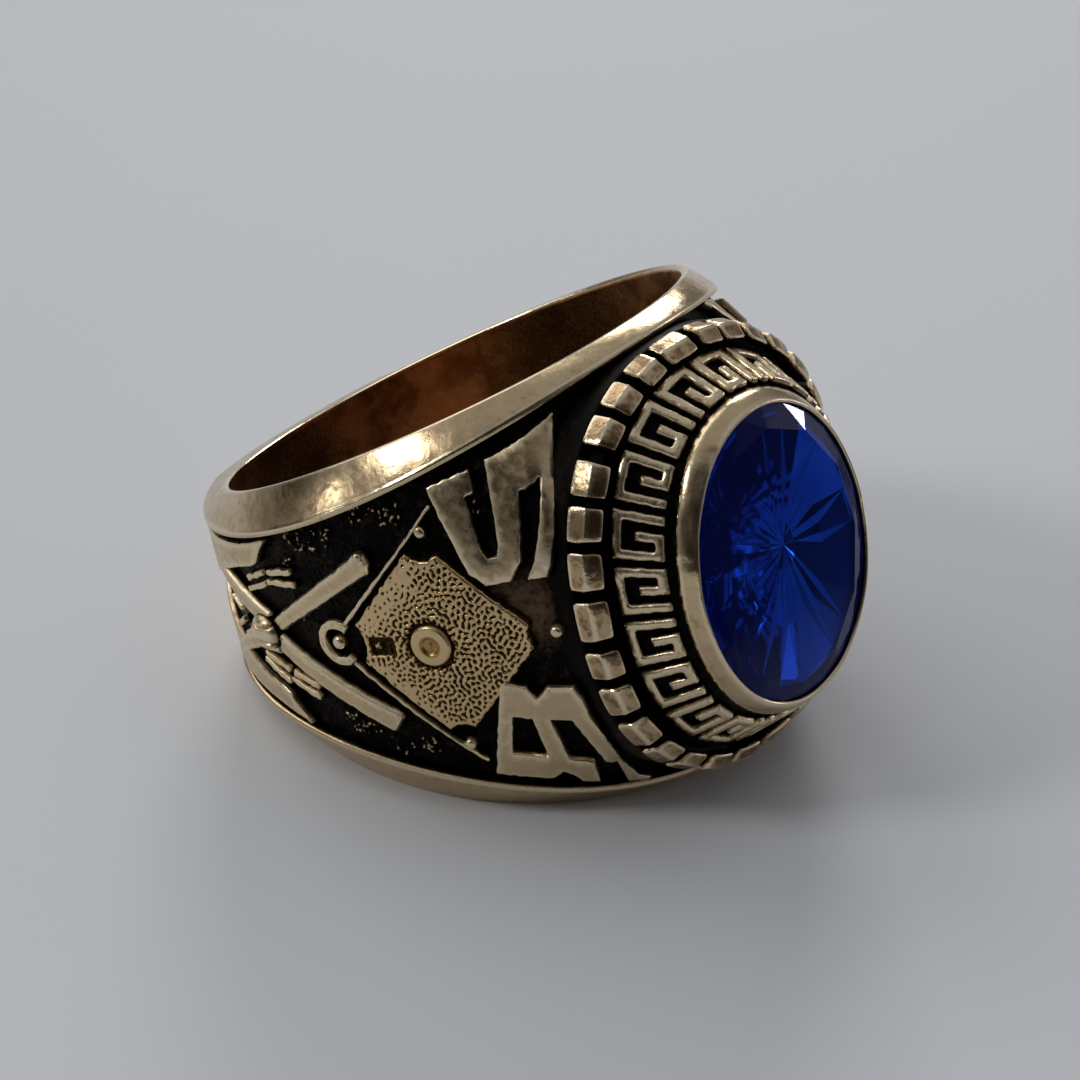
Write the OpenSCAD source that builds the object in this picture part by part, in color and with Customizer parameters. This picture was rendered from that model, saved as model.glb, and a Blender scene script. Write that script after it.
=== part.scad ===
// Class ring with an oval stone, lying on its side.
// Every piece is drawn with the finger axis along z and the stone along +x,
// with the middle of the bore at the origin. place() then lays the ring on the
// flat crest of its lower rim.

/* [Band] */
// Diameter of the finger bore
bore_d = 19.8; // [18:0.1:21]
// Outer radius of the two rails
rail_r = 11.2; // [11:0.05:11.6]
// Half height of the band at the middle of the bore
half_h = 6.3; // [6:0.05:6.6]
// Growth of the half height for each millimetre towards the stone
taper = 0.305; // [0.28:0.005:0.32]
// Height of the thin upright face on the outside of each rail
rail_face = 0.25; // [0.15:0.05:0.4]

/* [Head] */
// Height of the foot of the brick border above the bore's middle
foot_x = 11.9; // [11.7:0.05:12.1]
// Half width of the brick border's foot, across the finger
foot_y = 8.1; // [7.9:0.05:8.3]
// Half length of the brick border's foot, along the finger
foot_z = 8.8; // [8.6:0.05:8.9]
// Number of bricks in the border
bricks = 30; // [24:2:32]
// Height of the bezel's top above the bore's middle
bezel_x = 15.72; // [15.6:0.02:15.9]
// Half width of the stone's opening, across the finger
open_y = 5.0; // [4.8:0.05:5.1]
// Half length of the stone's opening, along the finger
open_z = 6.0; // [5.8:0.05:6.1]

/* [Stone] */
// Height of the stone's table above the bore's middle
table_x = 15.95; // [15.8:0.05:16.1]
// Depth from the girdle to the stone's point
pavilion = 3.6; // [3:0.1:4]
// Gap between the stone and its seat
seat_gap = 0.06; // [0.04:0.01:0.1]
// Number of facets around the stone
facets = 24; // [16:4:32]

/* [Relief] */
// How far the raised figures stand above the floor of the side panels
relief = 0.4; // [0.3:0.05:0.5]
// Half diagonal of the ball diamond
diamond = 4.5; // [4.2:0.1:4.6]
// Length of the crossed bats
bat_l = 11; // [10:0.5:11.5]
// Width of the numerals' strokes
stroke = 0.75; // [0.6:0.05:0.9]

/* [Hidden] */

gold = [0.80, 0.68, 0.42];
blue = [0.04, 0.10, 0.55];
bore_r = bore_d / 2;
lean = atan(taper);                 // the ring leans this far when it lies down
crest_r = bore_r + 0.15;            // radius of the crest of each rim
steps = 48;                         // sections around the band
round_n = 2.2;                      // roundness of the head's oval

// Radius of the raised figures' tops along the panel's middle: columns are angle from the
// stone, radius. The panel swells from the band into the foot of the head.
SWELL = [[0, 11.3], [20, 12.3], [34, 14.3], [38, 13.75], [44, 13], [52, 12.45], [60, 12],
         [68, 11.65], [77, 11.4], [90, 11.25], [105, 11.15], [180, 11.15]];
// Depth of the floor under those tops: columns are angle, depth. The back is nearly plain.
DEPTH = [[0, 1], [104, 1], [130, 0.35], [180, 0.35]];

function turn(a) = abs(a > 180 ? a - 360 : a);
function swell(a) = lookup(turn(a), SWELL);
function depth(a) = relief * lookup(turn(a), DEPTH);
// Height of the crest plane, of the outer corner and of the panel's edge at angle a
function crest(r, a) = half_h + taper * r * cos(a);
function corner(a) = min(4.53 + 2.94 * cos(a) + 1.32 * cos(a) * cos(a) + rail_face,
                         crest(rail_r, a) - 0.05);
function edge(a) = corner(a) - rail_face;
// Radius of the raised tops at angle a and a share t of the half height
function top_at(a, t) = rail_r - 0.05 + (swell(a) - rail_r + 0.05) * (1 - t * t);

// One section of the band, as radius and height, from the upper inside down to the lower one
T = [1, 0.8, 0.4, 0, -0.4, -0.8, -1];
function section(a) = concat(
    [[bore_r - 1, crest(crest_r, a) - 0.25], [bore_r - 0.1, crest(bore_r, a) - 0.05],
     [crest_r, crest(crest_r, a)], [crest_r + 0.12, crest(crest_r + 0.12, a)],
     [rail_r, corner(a)], [rail_r, edge(a)]],
    [for (t = T) [top_at(a, t) - depth(a), t * (edge(a) - 0.1)]],
    [[rail_r, -edge(a)], [rail_r, -corner(a)],
     [crest_r + 0.12, -crest(crest_r + 0.12, a)], [crest_r, -crest(crest_r, a)],
     [bore_r - 0.1, 0.05 - crest(bore_r, a)], [bore_r - 1, 0.25 - crest(crest_r, a)]]);

// A closed ring of sections
module ring_loft(n, m, pts)
    polyhedron(pts, [for (i = [0 : n - 1]) for (j = [0 : m - 1])
        let (p = (i + 1) % n, q = (j + 1) % m)
        each [[i * m + j, p * m + j, p * m + q], [i * m + j, p * m + q, i * m + q]]]);

// A stack of ovals: columns are height along x, half width, half length
function oval(s, k, n, e) = [for (i = [0 : n - 1]) let (a = 360 * i / n, c = cos(a), d = sin(a))
    [s[k][0], s[k][1] * sign(c) * pow(abs(c), 2 / e), s[k][2] * sign(d) * pow(abs(d), 2 / e)]];
module oval_stack(s, n, e) {
    m = len(s);
    polyhedron([for (k = [0 : m - 1]) each oval(s, k, n, e)],
        concat([[for (i = [0 : n - 1]) i]],
               [for (k = [0 : m - 2]) for (i = [0 : n - 1]) let (j = (i + 1) % n)
                   each [[k * n + i, (k + 1) * n + i, (k + 1) * n + j],
                         [k * n + i, (k + 1) * n + j, k * n + j]]],
               [[for (i = [n - 1 : -1 : 0]) (m - 1) * n + i]]));
}

// Outside of the head: columns are height, half width, half length
HEAD = [[7.3, foot_y - 0.3, foot_z - 0.35], [foot_x - 0.3, foot_y - 0.3, foot_z - 0.35],
        [foot_x, foot_y - 0.1, foot_z - 0.15], [foot_x + 0.65, foot_y - 0.3, foot_z - 0.3],
        [foot_x + 0.9, 6.95, 8.1], [foot_x + 0.8, 6.65, 7.85],
        [14.5, 5.95, 6.95], [14.3, 5.7, 6.65], [15.3, 5.6, 6.55],
        [bezel_x, 5.25, 6.25], [bezel_x - 0.1, open_y - 0.5, open_z - 0.5]];
// The stone's seat, from the bottom up to the opening
SEAT = [[11.1, 1.5, 2.3], [bezel_x - 0.75, open_y + 0.2, open_z + 0.2],
        [bezel_x - 0.5, open_y + 0.2, open_z + 0.2], [bezel_x - 0.12, open_y, open_z],
        [bezel_x + 0.5, open_y, open_z]];
girdle_x = bezel_x - 0.62;
// The stone: point, pavilion, girdle, crown and table
STONE = [[girdle_x - pavilion, 0.5, 1.2], [girdle_x - pavilion * 0.55, open_y * 0.58, open_z * 0.6],
         [girdle_x - 0.1, open_y + 0.2 - seat_gap, open_z + 0.2 - seat_gap],
         [girdle_x + 0.05, open_y + 0.2 - seat_gap, open_z + 0.2 - seat_gap],
         [bezel_x - 0.12, open_y - seat_gap, open_z - seat_gap],
         [table_x, open_y - 0.9, open_z - 0.95]];

// Lays the ring on its lower rim, with the middle of its box over the origin
function tipped(x, z) = [x * cos(lean) - z * sin(lean), x * sin(lean) + z * cos(lean)];
reach_front = max([for (s = HEAD) tipped(s[0], -s[2])[0]]);
reach_back = tipped(-rail_r, corner(180))[0];
module place() translate([-(reach_front + reach_back) / 2, 0, half_h * cos(lean)])
    rotate([0, -lean, 0]) children();

// The skin that the raised figures end at
module skin() ring_loft(steps, len(T) + 2, [for (i = [0 : steps - 1]) let (a = 360 * i / steps)
    for (p = concat([[bore_r + 0.4, edge(a) - 0.12]], [for (t = T) [top_at(a, t), t * (edge(a) - 0.12)]],
                    [[bore_r + 0.4, 0.12 - edge(a)]])) [p[0] * cos(a), p[0] * sin(a), p[1]]]);

// Slopes of the skin at angle a on the near side and height z
function lean_s(a) = atan((swell(a - 3) - swell(a + 3)) / (swell(a) * 6 * PI / 180));
function lean_z(a, z) = atan(2 * (swell(a) - rail_r + 0.05) * z / pow(edge(a), 2));
// A child drawn flat, with its x towards the head and its y along the finger, goes through
// the skin at angle a and height z
module through(a, z) rotate([0, 0, a])
    translate([top_at(a, z / (edge(a) - 0.1)), 0, z]) rotate([0, 0, lean_s(a)])
    rotate([0, -lean_z(a, z), 0]) rotate([90, 0, 90])
    translate([0, 0, -1.4]) linear_extrude(2.8) children();

// Square on its corner, with a bite out of each corner for its base
module diamond_plate(d) difference() {
    rotate(45) square(d * sqrt(2), center = true);
    translate([-d, 0]) circle(r = 1.35, $fn = 32);
    for (p = [[d + 0.4, 0], [0.2, d], [0.2, -d]]) translate(p) circle(r = 1.1, $fn = 32);
}
// A bat: a long taper with a knob at the handle
module bat(l) {
    polygon([[-l / 2, -0.25], [0, -0.3], [l / 2 - 1.5, -0.45], [l / 2, -0.4],
             [l / 2, 0.4], [l / 2 - 1.5, 0.45], [0, 0.3], [-l / 2, 0.25]]);
    translate([-l / 2, 0]) circle(r = 0.4, $fn = 24);
}
// A numeral's place is a flared patch beside the head. Its corners are in columns: distance
// towards the head from the patch's middle and height along the finger, for the foot and the
// top of the side by the diamond, then for the foot and the top of the side by the rail.
PATCH = [[-2.1, 2.3], [0.9, 2.4], [-3.2, 6.1], [3.6, 7.3]];
// Point of a numeral at share u across and share v up, on side k (1 upper, -1 lower)
function spot(u, v, k) = let (w = k > 0 ? 1 - u : u,
    p = PATCH[0] * (1 - w) * (1 - v) + PATCH[1] * (1 - w) * v
      + PATCH[2] * w * (1 - v) + PATCH[3] * w * v) [p[0], k * (p[1] - 4.6)];
function block(q, k) = [for (p = q) spot(p[0], p[1], k)];
b = stroke / 4.6;
FIVE = [[0, 0], [0.85, 0], [1, 0.14], [1, 0.48], [0.85, 0.62], [b, 0.62], [b, 0.8], [1, 0.8], [1, 1],
        [0, 1], [0, 0.43], [0.95 - b, 0.43], [1 - b, 0.39], [1 - b, 0.24], [0.95 - b, 0.2], [0, 0.2]];
SIX = [[0.12, 0], [0.88, 0], [1, 0.12], [1, 0.48], [0.88, 0.6], [b, 0.6], [b, 0.82], [1 - b, 0.82],
       [1 - b, 0.72], [1, 0.72], [1, 0.9], [0.88, 1], [0.12, 1], [0, 0.9], [0, 0.12]];
EYE = [[b, 0.18], [1 - b, 0.18], [1 - b, 0.42], [b, 0.42]];

module side_relief() {
    through(-59, 0) diamond_plate(diamond);
    through(-82, 0) circle(r = 0.95, $fn = 32);
    for (k = [-1, 1]) through(-101, 0) rotate(k * 32) bat(bat_l);
    through(-104, 0) circle(r = 0.95, $fn = 32);
    through(-40.5, 4.6) polygon(block(FIVE, 1));
    through(-40.5, -4.6) difference() { polygon(block(SIX, -1)); polygon(block(EYE, -1)); }
}

// Bricks around the head, each a small block across the border
module brick_row() for (i = [0 : bricks - 1]) let (a = 360 * (i + 0.5) / bricks, c = cos(a), d = sin(a),
    y = (foot_y - 0.45) * sign(c) * pow(abs(c), 2 / round_n),
    z = (foot_z - 0.5) * sign(d) * pow(abs(d), 2 / round_n))
    translate([foot_x + 0.55, y, z]) rotate([atan2(z, y), 0, 0]) cube([1.15, 1.0, 1.35], center = true);

module ring_body() {
    color(gold) place() difference() {
        union() {
            ring_loft(steps, len(section(0)), [for (i = [0 : steps - 1]) let (a = 360 * i / steps)
                for (p = section(a)) [p[0] * cos(a), p[0] * sin(a), p[1]]]);
            oval_stack(HEAD, 48, round_n);
            brick_row();
            intersection() {
                skin();
                union() { side_relief(); rotate([180, 0, 0]) side_relief(); }
            }
        }
        cylinder(r = bore_r, h = 40, center = true, $fn = 96);
        oval_stack(SEAT, 48, 2.04);
    }
}

module stone() {
    color(blue) place() oval_stack(STONE, facets, 2.02);
}

ring_body();
stone();
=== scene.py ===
"""Class ring lying on its side on a pale table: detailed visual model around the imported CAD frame.

Geometry is worked out in the ring's own millimetre frame (bore along z, stone along +x, origin in
the middle of the bore) and laid down into the row frame, in metres, when each mesh is made.
"""

import math

import bmesh
import bpy
import numpy as np
from mathutils import Matrix, Vector
from mathutils.geometry import delaunay_2d_cdt


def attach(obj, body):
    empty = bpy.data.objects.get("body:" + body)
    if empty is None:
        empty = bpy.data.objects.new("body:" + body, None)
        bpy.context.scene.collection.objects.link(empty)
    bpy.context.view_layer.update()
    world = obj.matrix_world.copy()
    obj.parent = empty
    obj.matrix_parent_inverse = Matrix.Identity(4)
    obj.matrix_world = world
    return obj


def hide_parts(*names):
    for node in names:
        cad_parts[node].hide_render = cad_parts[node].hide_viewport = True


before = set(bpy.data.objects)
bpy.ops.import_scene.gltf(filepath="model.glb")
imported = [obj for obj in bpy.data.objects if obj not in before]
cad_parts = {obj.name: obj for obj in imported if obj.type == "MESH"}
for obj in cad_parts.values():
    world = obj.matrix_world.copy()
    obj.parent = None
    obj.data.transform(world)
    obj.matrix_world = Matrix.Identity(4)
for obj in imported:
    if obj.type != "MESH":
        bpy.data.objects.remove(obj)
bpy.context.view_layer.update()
ROOT = "root"

# ------------------------------------------------------------------ frames
LEAN = math.atan(0.305)
CL, SL = math.cos(LEAN), math.sin(LEAN)
OX, OZ = -2.65997, 6.02595


def to_row(p):
    p = np.asarray(p, float)
    x, y, z = p[..., 0], p[..., 1], p[..., 2]
    return np.stack([x * CL - z * SL + OX, y, x * SL + z * CL + OZ], -1) * 0.001


def far(p):
    """The far side of the ring is the near side turned half round the stone's axis."""
    return np.asarray(p, float) * np.array([1.0, -1.0, -1.0])


def pchip(xk, yk, x):
    """Monotone cubic interpolation through (xk, yk)."""
    xk, yk = np.asarray(xk, float), np.asarray(yk, float)
    h = np.diff(xk)
    d = np.diff(yk) / h
    m = np.zeros_like(yk)
    m[0], m[-1] = d[0], d[-1]
    for i in range(1, len(yk) - 1):
        if d[i - 1] * d[i] > 0:
            w1, w2 = 2 * h[i] + h[i - 1], h[i] + 2 * h[i - 1]
            m[i] = (w1 + w2) / (w1 / d[i - 1] + w2 / d[i])
    x = np.asarray(x, float)
    i = np.clip(np.searchsorted(xk, x) - 1, 0, len(h) - 1)
    t = (x - xk[i]) / h[i]
    t2, t3 = t * t, t * t * t
    return (
        (2 * t3 - 3 * t2 + 1) * yk[i]
        + (t3 - 2 * t2 + t) * h[i] * m[i]
        + (-2 * t3 + 3 * t2) * yk[i + 1]
        + (t3 - t2) * h[i] * m[i + 1]
    )


def sm(t):
    t = np.clip(t, 0, 1)
    return t * t * (3 - 2 * t)


# ------------------------------------------------------------------ noise, all seeded
class Field:
    """Band-passed noise on a periodic square, sampled bilinearly."""

    def __init__(self, size, n, wave, spread, seed):
        rs = np.random.RandomState(seed)
        f = np.fft.fft2(rs.standard_normal((n, n)))
        k = np.fft.fftfreq(n, size / n)
        kk = np.hypot(k[:, None], k[None, :])
        k0 = 1.0 / wave
        f *= np.exp(-(((kk - k0) / (spread * k0)) ** 2))
        v = np.fft.ifft2(f).real
        self.v = v / v.std()
        self.n, self.size = n, size

    def __call__(self, x, y):
        n = self.n
        fx = np.asarray(x, float) / self.size * n
        fy = np.asarray(y, float) / self.size * n
        ix, iy = np.floor(fx).astype(int), np.floor(fy).astype(int)
        tx, ty = fx - ix, fy - iy
        v = self.v
        g = lambda i, j: v[i % n, j % n]
        return (
            g(ix, iy) * (1 - tx) * (1 - ty)
            + g(ix + 1, iy) * tx * (1 - ty)
            + g(ix, iy + 1) * (1 - tx) * ty
            + g(ix + 1, iy + 1) * tx * ty
        )


WORM = Field(12.0, 860, 0.245, 0.245, 11)
SOFT_N = Field(24.0, 256, 1.3, 0.6, 5)
FINE_N = Field(12.0, 400, 0.28, 0.7, 23)

# ------------------------------------------------------------------ the band's shape
SW_A = [0, 12, 20, 28, 34, 38, 43.5, 52, 60, 68, 77, 90, 105, 180]
SW_R = [11.3, 11.8, 12.3, 13.35, 14.4, 13.76, 13.05, 12.45, 12.0, 11.65, 11.4, 11.25, 11.18, 11.15]
# distance along the middle of the panel, from 60 degrees off the stone, towards the head
AR_A = [-180, -150, -140, -130, -120, -110, -100, -90, -80, -70, -60, -50, -40, -30, -20, 0]
AR_S = [-23.72, -17.82, -15.87, -13.9, -11.97, -10.0, -8.03, -6.07, -4.1, -2.1, 0, 2.233, 4.7, 7.567, 10.29, 14.5]


def turn(a):
    return np.abs((np.asarray(a, float) + 180) % 360 - 180)


def swell(a):
    t = turn(a)
    # a soft peak where the panel meets the head's foot
    return pchip(SW_A, SW_R, t)


def crest(r, a):
    return 6.3 + 0.305 * r * np.cos(np.radians(a))


def corner(a):
    c = np.cos(np.radians(a))
    return np.minimum(4.783 + 2.94 * c + 1.32 * c * c, crest(11.2, a) - 0.05)


def edge(a):
    return corner(a) - 0.25


def a_of(s):
    s = np.asarray(s, float)
    back = s < AR_S[0]
    s2 = np.where(back, 2 * AR_S[0] - s, s)
    a = pchip(AR_S, AR_A, np.clip(s2, AR_S[0], AR_S[-1]))
    return np.where(back, -360 - a, a)


def s_of(a):
    return pchip(AR_A, AR_S, a)


def skin(a, z):
    """Points on the surface that the raised figures end at."""
    t = np.clip(np.abs(z) / edge(a), 0, 1.02)
    r = 11.15 + (swell(a) - 11.15) * (1 - t * t)
    A = np.radians(a)
    return np.stack([r * np.cos(A), r * np.sin(A), np.broadcast_to(z, r.shape)], -1)


def surf(s, z, h=0.0):
    """Points at height h over the skin, for distance s along the panel and z along the finger."""
    s, z = np.broadcast_arrays(np.asarray(s, float), np.asarray(z, float))
    a = a_of(s)
    p = skin(a, z)
    du = skin(a + 0.4, z) - skin(a - 0.4, z)
    dv = skin(a, z + 0.06) - skin(a, z - 0.06)
    n = np.cross(du, dv)
    n /= np.linalg.norm(n, axis=-1, keepdims=True)
    return p + n * np.asarray(h, float)[..., None]


def px(x, y):
    """Panel drawing units (60 to the millimetre) to (s, z)."""
    return ((x - 1069) / 60.0, (540 - y) / 60.0)


# ------------------------------------------------------------------ mesh building
def turn_outwards(me):
    """Makes the faces of each shell agree, and look away from the metal."""
    bm = bmesh.new()
    bm.from_mesh(me)
    bmesh.ops.recalc_face_normals(bm, faces=bm.faces)
    bm.to_mesh(me)
    nv, ne, nf = len(me.vertices), len(me.edges), len(me.polygons)
    e = np.empty(ne * 2, np.int32)
    me.edges.foreach_get("vertices", e)
    e = e.reshape(-1, 2)
    shell = np.arange(nv)
    while True:
        low = np.minimum(shell[e[:, 0]], shell[e[:, 1]])
        nxt = shell.copy()
        np.minimum.at(nxt, e[:, 0], low)
        np.minimum.at(nxt, e[:, 1], low)
        nxt = nxt[nxt]
        if (nxt == shell).all():
            break
        shell = nxt
    n, c, w, first = np.empty(nf * 3), np.empty(nf * 3), np.empty(nf), np.empty(nf, np.int32)
    me.polygons.foreach_get("normal", n)
    me.polygons.foreach_get("center", c)
    me.polygons.foreach_get("area", w)
    me.polygons.foreach_get("loop_start", first)
    loops = np.empty(len(me.loops), np.int32)
    me.loops.foreach_get("vertex_index", loops)
    n, c = n.reshape(-1, 3), c.reshape(-1, 3)
    # out of the metal is away from a circle inside the band, or from a point inside the head
    m = np.stack([(c[:, 0] * 1000 - OX) * CL + (c[:, 2] * 1000 - OZ) * SL, c[:, 1] * 1000, (c[:, 2] * 1000 - OZ) * CL - (c[:, 0] * 1000 - OX) * SL], -1)
    nn = np.stack([n[:, 0] * CL + n[:, 2] * SL, n[:, 1], n[:, 2] * CL - n[:, 0] * SL], -1)
    r = np.hypot(m[:, 0], m[:, 1])[:, None]
    core = np.concatenate([m[:, :2] / r * 10.45, m[:, 2:] * 0.55], 1)
    core = np.where((m[:, 0] > 10.4)[:, None], np.array([[10.6, 0.0, 0.0]]), core)
    score = np.bincount(shell[loops[first]], weights=w * ((m - core) * nn).sum(1), minlength=nv)
    back = np.nonzero(score[shell[loops[first]]] < 0)[0]
    if len(back):
        bm.faces.ensure_lookup_table()
        bmesh.ops.reverse_faces(bm, faces=[bm.faces[i] for i in back])
        bm.to_mesh(me)
    bm.free()


class Build:
    """Collects vertices (mm), faces and the patina value of one piece."""

    def __init__(self):
        self.v, self.a, self.q, self.t, self.n = [], [], [], [], 0
        self.bore = None

    def add(self, pts, ant, quads=None, tris=None):
        pts = np.asarray(pts, float).reshape(-1, 3)
        ant = np.broadcast_to(np.asarray(ant, float).reshape(-1), (len(pts),)) if np.ndim(ant) else np.full(len(pts), float(ant))
        if quads is not None and len(quads):
            self.q.append(np.asarray(quads, int) + self.n)
        if tris is not None and len(tris):
            self.t.append(np.asarray(tris, int) + self.n)
        self.v.append(pts)
        self.a.append(ant)
        self.n += len(pts)

    def grid(self, pts, ant, wrap_u=False, wrap_v=False, flip=False):
        """pts is (nu, nv, 3); faces run u then v."""
        nu, nv = pts.shape[:2]
        i = np.arange(nu if wrap_u else nu - 1)
        j = np.arange(nv if wrap_v else nv - 1)
        I, J = np.meshgrid(i, j, indexing="ij")
        I2, J2 = (I + 1) % nu, (J + 1) % nv
        f = np.stack([I * nv + J, I2 * nv + J, I2 * nv + J2, I * nv + J2], -1).reshape(-1, 4)
        if flip:
            f = f[:, ::-1]
        self.add(pts.reshape(-1, 3), np.broadcast_to(ant, (nu, nv)).reshape(-1), quads=f)

    def copy_far(self, other):
        """Adds the other piece turned to the far side."""
        n0 = self.n
        for v, a in zip(other.v, other.a):
            self.v.append(far(v))
            self.a.append(a)
        self.q += [q + n0 for q in other.q]
        self.t += [t + n0 for t in other.t]
        self.n += other.n

    def mesh(self, name, mat, slot, angle=35, row=True):
        v = np.concatenate(self.v)
        co = to_row(v) if row else v * 0.001
        faces = [*self.q, *self.t]
        loops = np.concatenate([f.reshape(-1) for f in faces])
        sizes = np.concatenate([np.full(len(f), f.shape[1]) for f in faces])
        starts = np.concatenate([[0], np.cumsum(sizes)[:-1]])
        me = bpy.data.meshes.new(name)
        me.vertices.add(len(v))
        me.vertices.foreach_set("co", co.astype(np.float32).ravel())
        me.loops.add(len(loops))
        me.loops.foreach_set("vertex_index", loops.astype(np.int32))
        me.polygons.add(len(sizes))
        me.polygons.foreach_set("loop_start", starts.astype(np.int32))
        me.update(calc_edges=True)
        me.validate()
        at = me.attributes.new("ant", "FLOAT", "POINT")
        at.data.foreach_set("value", np.concatenate(self.a).astype(np.float32))
        turn_outwards(me)
        if self.bore is not None:
            ab = me.attributes.new("bore", "FLOAT", "POINT")
            ab.data.foreach_set("value", self.bore.astype(np.float32))
        me.shade_smooth()
        if angle:
            me.set_sharp_from_angle(angle=math.radians(angle))
        ob = bpy.data.objects.new(name, me)
        bpy.context.scene.collection.objects.link(ob)
        me.materials.append(mat)
        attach(ob, ROOT)
        return ob


# ------------------------------------------------------------------ plane outlines
def poly_sdf(P, x, y):
    """Signed distance to a closed outline, negative inside."""
    P = np.asarray(P, float)
    d = np.full(np.shape(x), 1e9)
    inside = np.zeros(np.shape(x), bool)
    for (x0, y0), (x1, y1) in zip(P, np.roll(P, -1, 0)):
        ex, ey = x1 - x0, y1 - y0
        L = max(ex * ex + ey * ey, 1e-12)
        t = np.clip(((x - x0) * ex + (y - y0) * ey) / L, 0, 1)
        d = np.minimum(d, np.hypot(x - x0 - t * ex, y - y0 - t * ey))
        if y0 != y1:
            c = ((y0 > y) != (y1 > y)) & (x < (x1 - x0) * (y - y0) / (y1 - y0) + x0)
            inside ^= c
    return np.where(inside, -d, d)


def area2(P):
    x, y = P[:, 0], P[:, 1]
    return np.sum(x * np.roll(y, -1) - np.roll(x, -1) * y)


def oriented(P, ccw=True):
    P = np.asarray(P, float)
    return P if (area2(P) > 0) == ccw else P[::-1]


def dense(P, step):
    out = []
    for a, b in zip(P, np.roll(P, -1, 0)):
        n = max(1, int(math.ceil(np.hypot(*(b - a)) / step)))
        out += [a + (b - a) * k / n for k in range(n)]
    return np.array(out)


def rounded(P, r, n=4):
    """Rounds the corners of an outline with short arcs."""
    P = np.asarray(P, float)
    out = []
    for p0, p, p1 in zip(np.roll(P, 1, 0), P, np.roll(P, -1, 0)):
        u, w = p0 - p, p1 - p
        lu, lw = np.hypot(*u), np.hypot(*w)
        u, w = u / max(lu, 1e-9), w / max(lw, 1e-9)
        c = np.clip(np.dot(u, w), -1, 1)
        if c < -0.97:
            out.append(p)
            continue
        k = min(r / math.tan(max(math.acos(c) / 2, 0.15)), 0.42 * lu, 0.42 * lw)
        a, b = p + u * k, p + w * k
        for i in range(n + 1):
            t = i / n
            out.append((1 - t) ** 2 * a + 2 * t * (1 - t) * p + t * t * b)
    return np.array(out)


def inset(P, d):
    """Moves a left-turning outline inwards by d; d may be one value per point."""
    e = np.roll(P, -1, 0) - P
    e /= np.maximum(np.linalg.norm(e, axis=1, keepdims=True), 1e-9)
    n1 = np.stack([-e[:, 1], e[:, 0]], 1)
    n0 = np.roll(n1, 1, 0)
    m = n0 + n1
    L = np.maximum((m * n1).sum(1, keepdims=True), 0.75)
    return P + m / L * np.asarray(d, float).reshape(-1, 1)


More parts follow.
